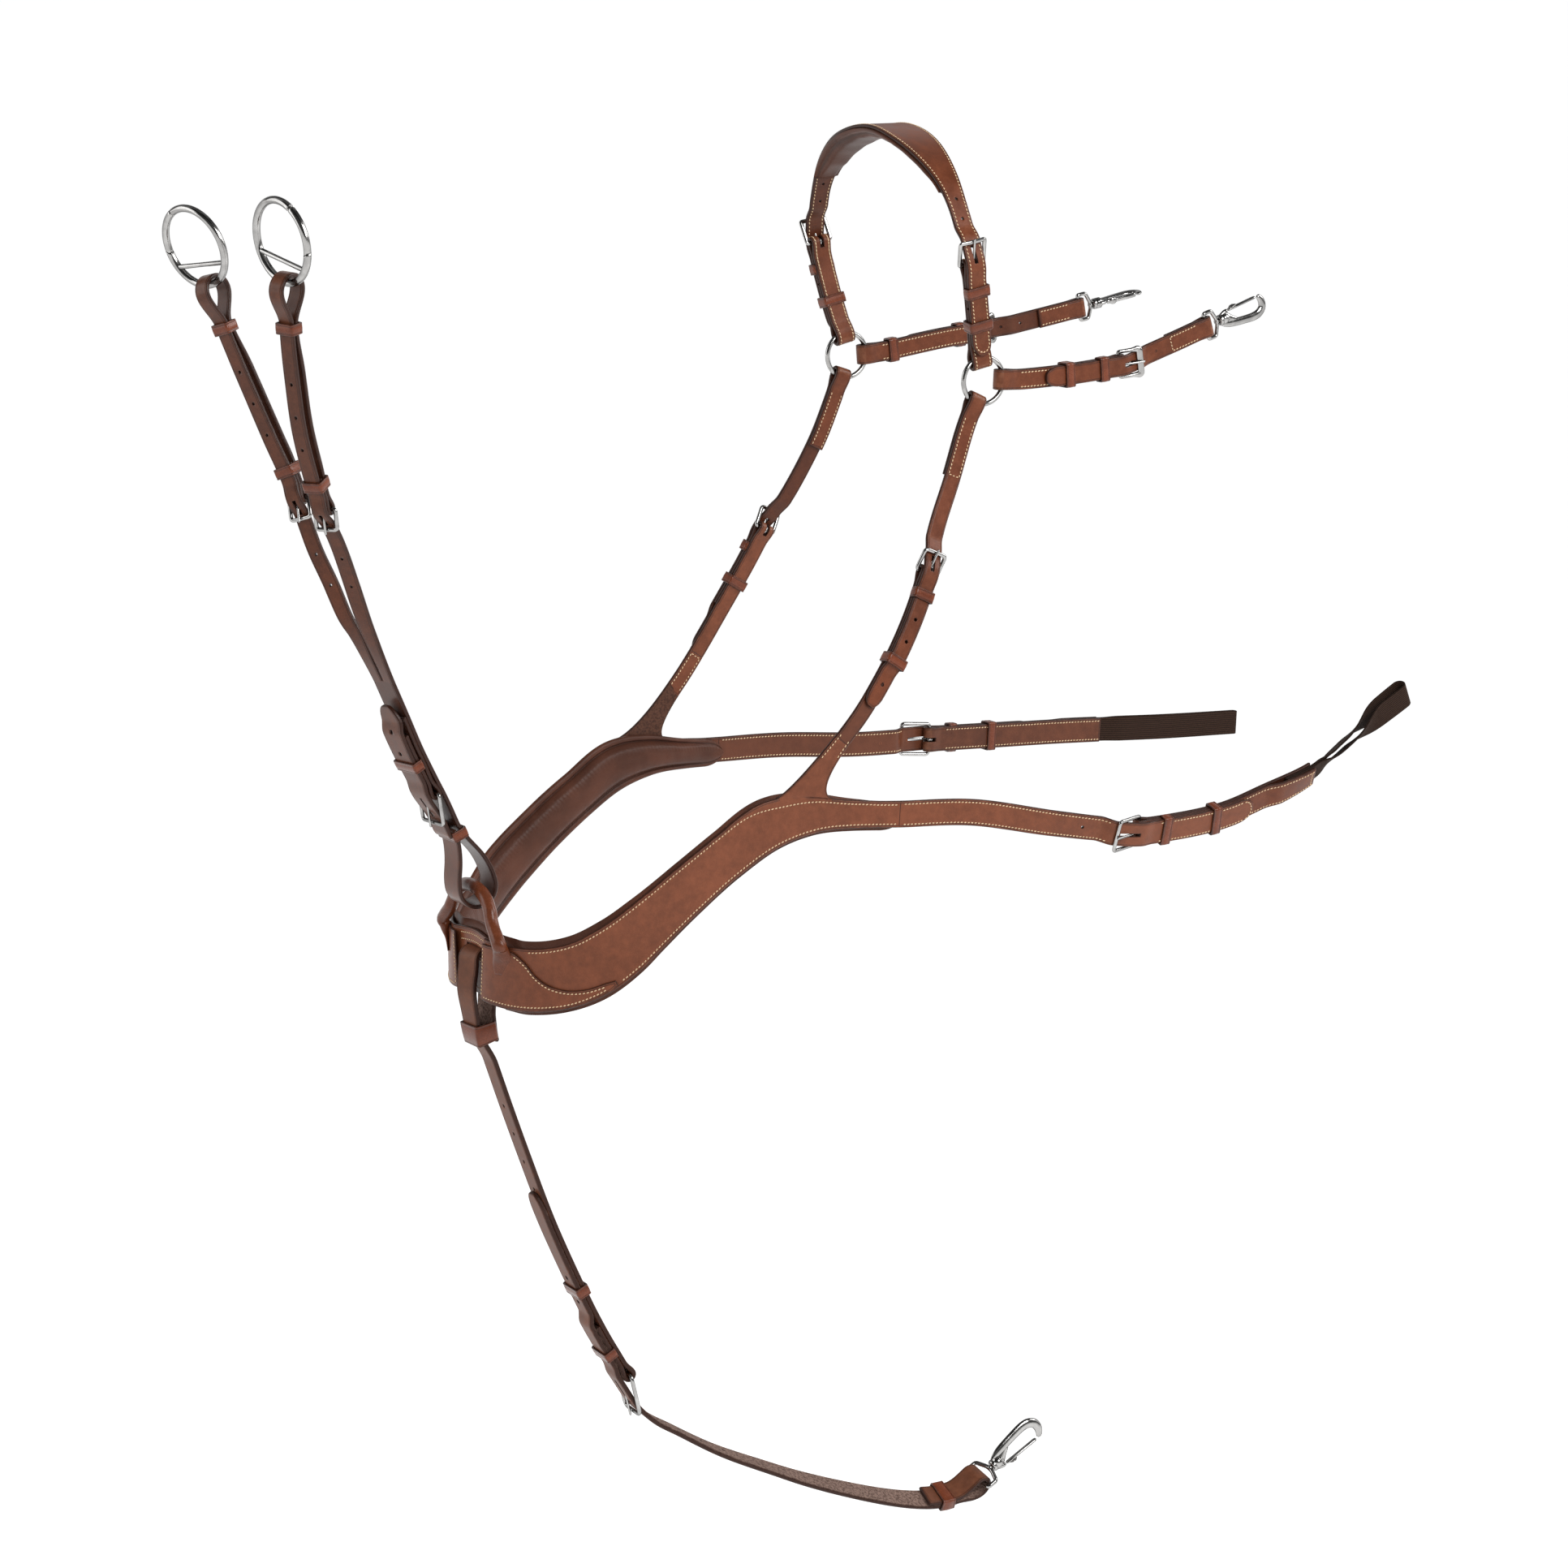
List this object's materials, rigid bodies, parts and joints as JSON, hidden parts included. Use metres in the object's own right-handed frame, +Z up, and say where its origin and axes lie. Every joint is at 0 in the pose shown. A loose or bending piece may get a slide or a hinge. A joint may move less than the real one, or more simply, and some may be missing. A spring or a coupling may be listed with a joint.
{
  "type": "five-point breastplate with running martingale",
  "caption": "Leather breastplate for a horse: padded wither and chest straps, buckled shoulder, saddle, girth and belly straps, and a running martingale fork with rings.",
  "frame": {"origin": "where the wither strap's middle rests on the top of the withers", "axes": "+X towards the horse's tail, -Y to its near (left) side, +Z up"},
  "size_m": [1.2242, 0.4025, 1.3663],
  "materials": {
    "chestnut_leather": "waxed bridle leather",
    "lining_leather": "soft matt leather",
    "elastic_webbing": "ribbed elastic",
    "polished_steel": "polished stainless steel"
  },
  "bodies": {
    "collar": {"wither_strap": "chestnut_leather", "wither_pad": "lining_leather", "chest_lining": "lining_leather", "front_loop": "chestnut_leather", "far_wither_tab": "chestnut_leather", "far_wither_buckle_frame": "polished_steel", "near_wither_tab": "chestnut_leather", "near_wither_buckle_frame": "polished_steel", "near_shoulder_strap": "chestnut_leather", "near_shoulder_buckle_frame": "polished_steel", "near_chest_panel": "chestnut_leather", "near_girth_buckle_frame": "polished_steel", "near_girth_chape": "chestnut_leather", "near_girth_loop": "elastic_webbing", "far_shoulder_strap": "chestnut_leather", "far_shoulder_buckle_frame": "polished_steel", "far_chest_panel": "chestnut_leather", "far_girth_buckle_frame": "polished_steel", "far_girth_chape": "chestnut_leather", "far_girth_loop": "elastic_webbing"},
    "near_wither_ring": {"near_wither_ring": "polished_steel"},
    "near_saddle_strap": {"near_saddle_chape": "chestnut_leather", "near_saddle_billet": "chestnut_leather", "near_saddle_buckle_frame": "polished_steel"},
    "near_snap_eye": {"near_snap_eye": "polished_steel"},
    "near_snap_hook": {"near_snap_hook": "polished_steel"},
    "near_snap_gate": {"near_snap_gate": "polished_steel"},
    "far_wither_ring": {"far_wither_ring": "polished_steel"},
    "far_saddle_strap": {"far_saddle_chape": "chestnut_leather", "far_saddle_billet": "chestnut_leather", "far_saddle_buckle_frame": "polished_steel"},
    "far_snap_eye": {"far_snap_eye": "polished_steel"},
    "far_snap_hook": {"far_snap_hook": "polished_steel"},
    "far_snap_gate": {"far_snap_gate": "polished_steel"},
    "belly_strap": {"belly_chape": "chestnut_leather", "belly_billet": "chestnut_leather", "belly_buckle_frame": "polished_steel"},
    "belly_snap_eye": {"belly_snap_eye": "polished_steel"},
    "belly_snap_hook": {"belly_snap_hook": "polished_steel"},
    "belly_snap_gate": {"belly_snap_gate": "polished_steel"},
    "fork": {"martingale_fork": "chestnut_leather", "stem_buckle_frame": "polished_steel", "near_arm_buckle_frame": "polished_steel", "far_arm_buckle_frame": "polished_steel"},
    "near_martingale_ring": {"near_martingale_ring": "polished_steel"},
    "near_ring_gate": {"near_ring_gate": "polished_steel"},
    "far_martingale_ring": {"far_martingale_ring": "polished_steel"},
    "far_ring_gate": {"far_ring_gate": "polished_steel"},
    "near_wither_buckle_tongue": {"near_wither_buckle_tongue": "polished_steel"},
    "far_wither_buckle_tongue": {"far_wither_buckle_tongue": "polished_steel"},
    "near_saddle_buckle_tongue": {"near_saddle_buckle_tongue": "polished_steel"},
    "far_saddle_buckle_tongue": {"far_saddle_buckle_tongue": "polished_steel"},
    "near_shoulder_buckle_tongue": {"near_shoulder_buckle_tongue": "polished_steel"},
    "far_shoulder_buckle_tongue": {"far_shoulder_buckle_tongue": "polished_steel"},
    "near_girth_buckle_tongue": {"near_girth_buckle_tongue": "polished_steel"},
    "far_girth_buckle_tongue": {"far_girth_buckle_tongue": "polished_steel"},
    "near_arm_buckle_tongue": {"near_arm_buckle_tongue": "polished_steel"},
    "far_arm_buckle_tongue": {"far_arm_buckle_tongue": "polished_steel"},
    "belly_buckle_tongue": {"belly_buckle_tongue": "polished_steel"},
    "stem_buckle_tongue": {"stem_buckle_tongue": "polished_steel"}
  },
  "joints": [
    {"name": "far_wither_buckle_tongue_lift", "type": "hinge", "parent": "collar", "child": "far_wither_buckle_tongue", "pos_m": [0.00804, 0.13585, -0.11519], "axis": [-0.9862, 0.0027, -0.1653], "range_deg": [0, 15]},
    {"name": "near_wither_buckle_tongue_lift", "type": "hinge", "parent": "collar", "child": "near_wither_buckle_tongue", "pos_m": [0.00804, -0.13585, -0.11519], "axis": [0.9862, 0.0027, 0.1653], "range_deg": [0, 15]},
    {"name": "near_ring_turn", "type": "hinge", "parent": "collar", "child": "near_wither_ring", "pos_m": [0.031, -0.122, -0.224], "axis": [0, 1, 0], "range_deg": [-20, 20]},
    {"name": "near_saddle_buckle_tongue_lift", "type": "hinge", "parent": "near_saddle_strap", "child": "near_saddle_buckle_tongue", "pos_m": [0.18222, -0.11918, -0.21825], "axis": [0.1424, 0.0044, -0.9898], "range_deg": [0, 15]},
    {"name": "near_saddle_strap_swing", "type": "hinge", "parent": "near_wither_ring", "child": "near_saddle_strap", "pos_m": [0.0525, -0.122, -0.224], "axis": [0, 0, 1], "range_deg": [-12, 12]},
    {"name": "near_snap_eye_swing", "type": "hinge", "parent": "near_saddle_strap", "child": "near_snap_eye", "pos_m": [0.28591, -0.11205, -0.189], "axis": [0.2976, 0.0135, -0.9546], "range_deg": [-40, 40]},
    {"name": "near_snap_swivel", "type": "hinge", "parent": "near_snap_eye", "child": "near_snap_hook", "pos_m": [0.28591, -0.11205, -0.189], "axis": [0.9536, 0.0432, 0.2979], "continuous": true},
    {"name": "near_snap_gate_opening", "type": "hinge", "parent": "near_snap_hook", "child": "near_snap_gate", "pos_m": [0.31227, -0.11086, -0.17417], "axis": [-0.0452, 0.999, 0], "range_deg": [0, 18], "stiffness_Nm_per_rad": 0.02},
    {"name": "near_shoulder_buckle_tongue_lift", "type": "hinge", "parent": "collar", "child": "near_shoulder_buckle_tongue", "pos_m": [-0.04568, -0.14907, -0.39162], "axis": [0.9153, -0.0748, -0.3959], "range_deg": [0, 15]},
    {"name": "near_girth_buckle_tongue_lift", "type": "hinge", "parent": "collar", "child": "near_girth_buckle_tongue", "pos_m": [0.1634, -0.18815, -0.64771], "axis": [0.0548, -0.2944, 0.9541], "range_deg": [0, 15]},
    {"name": "far_ring_turn", "type": "hinge", "parent": "collar", "child": "far_wither_ring", "pos_m": [0.031, 0.122, -0.224], "axis": [0, 1, 0], "range_deg": [-20, 20]},
    {"name": "far_saddle_buckle_tongue_lift", "type": "hinge", "parent": "far_saddle_strap", "child": "far_saddle_buckle_tongue", "pos_m": [0.18165, 0.1202, -0.20928], "axis": [-0.1122, 0.0024, 0.9937], "range_deg": [0, 15]},
    {"name": "far_saddle_strap_swing", "type": "hinge", "parent": "far_wither_ring", "child": "far_saddle_strap", "pos_m": [0.0525, 0.122, -0.224], "axis": [0, 0, 1], "range_deg": [-12, 12]},
    {"name": "far_snap_eye_swing", "type": "hinge", "parent": "far_saddle_strap", "child": "far_snap_eye", "pos_m": [0.29191, 0.11205, -0.191], "axis": [-0.1752, 0.0078, 0.9845], "range_deg": [-40, 40]},
    {"name": "far_snap_swivel", "type": "hinge", "parent": "far_snap_eye", "child": "far_snap_hook", "pos_m": [0.29191, 0.11205, -0.191], "axis": [0.9835, -0.044, 0.1754], "continuous": true},
    {"name": "far_snap_gate_opening", "type": "hinge", "parent": "far_snap_hook", "child": "far_snap_gate", "pos_m": [0.32074, 0.10446, -0.18581], "axis": [-0.1752, 0.0078, 0.9845], "range_deg": [0, 18], "stiffness_Nm_per_rad": 0.02},
    {"name": "far_shoulder_buckle_tongue_lift", "type": "hinge", "parent": "collar", "child": "far_shoulder_buckle_tongue", "pos_m": [-0.04548, 0.14838, -0.39129], "axis": [-0.8762, -0.0822, 0.4748], "range_deg": [0, 15]},
    {"name": "far_girth_buckle_tongue_lift", "type": "hinge", "parent": "collar", "child": "far_girth_buckle_tongue", "pos_m": [0.16659, 0.18543, -0.62587], "axis": [-0.0562, -0.0021, -0.9984], "range_deg": [0, 15]},
    {"name": "belly_buckle_tongue_lift", "type": "hinge", "parent": "belly_strap", "child": "belly_buckle_tongue", "pos_m": [-0.28421, 0.00007, -1.15889], "axis": [0.0229, 0.9996, 0.0151], "range_deg": [0, 15]},
    {"name": "belly_strap_swing", "type": "hinge", "parent": "collar", "child": "belly_strap", "pos_m": [-0.4323, 0, -0.733], "axis": [0, 1, 0], "range_deg": [-6, 6]},
    {"name": "belly_snap_eye_swing", "type": "hinge", "parent": "belly_strap", "child": "belly_snap_eye", "pos_m": [0.11462, -0.00091, -1.34244], "axis": [-0.1829, 0.9278, 0.3251], "range_deg": [-40, 40]},
    {"name": "belly_snap_swivel", "type": "hinge", "parent": "belly_snap_eye", "child": "belly_snap_hook", "pos_m": [0.11462, -0.00091, -1.34244], "axis": [0.8716, 0, 0.4903], "continuous": true},
    {"name": "belly_snap_gate_opening", "type": "hinge", "parent": "belly_snap_hook", "child": "belly_snap_gate", "pos_m": [0.14867, -0.00196, -1.33173], "axis": [-0.0691, -0.99, 0.1228], "range_deg": [0, 18], "stiffness_Nm_per_rad": 0.02},
    {"name": "stem_buckle_tongue_lift", "type": "hinge", "parent": "fork", "child": "stem_buckle_tongue", "pos_m": [-0.47791, -0.00047, -0.57611], "axis": [-0.0631, 0.9974, -0.0336], "range_deg": [0, 15]},
    {"name": "fork_swing", "type": "hinge", "parent": "collar", "child": "fork", "pos_m": [-0.4355, 0, -0.668], "axis": [0, 1, 0], "range_deg": [-15, 30]},
    {"name": "near_arm_buckle_tongue_lift", "type": "hinge", "parent": "fork", "child": "near_arm_buckle_tongue", "pos_m": [-0.59232, -0.0435, -0.30599], "axis": [-0.5716, 0.8195, -0.0412], "range_deg": [0, 15]},
    {"name": "near_martingale_ring_swing", "type": "hinge", "parent": "fork", "child": "near_martingale_ring", "pos_m": [-0.63926, -0.08093, -0.10605], "axis": [-0.2144, 0.9734, 0.0812], "range_deg": [-40, 40]},
    {"name": "near_ring_gate_opening", "type": "hinge", "parent": "near_martingale_ring", "child": "near_ring_gate", "pos_m": [-0.6452, -0.10586, -0.04223], "axis": [0.9656, 0.1987, 0.1674], "range_deg": [0, 20], "stiffness_Nm_per_rad": 0.02},
    {"name": "far_arm_buckle_tongue_lift", "type": "hinge", "parent": "fork", "child": "far_arm_buckle_tongue", "pos_m": [-0.57689, 0.04691, -0.30926], "axis": [-0.5501, 0.7907, -0.2688], "range_deg": [0, 15]},
    {"name": "far_martingale_ring_swing", "type": "hinge", "parent": "fork", "child": "far_martingale_ring", "pos_m": [-0.64098, 0.07884, -0.12084], "axis": [-0.2634, 0.9381, -0.2251], "range_deg": [-40, 10]},
    {"name": "far_ring_gate_opening", "type": "hinge", "parent": "far_martingale_ring", "child": "far_ring_gate", "pos_m": [-0.66796, 0.09676, -0.05821], "axis": [-0.8992, -0.3232, -0.2949], "range_deg": [0, 20], "stiffness_Nm_per_rad": 0.02}
  ]
}
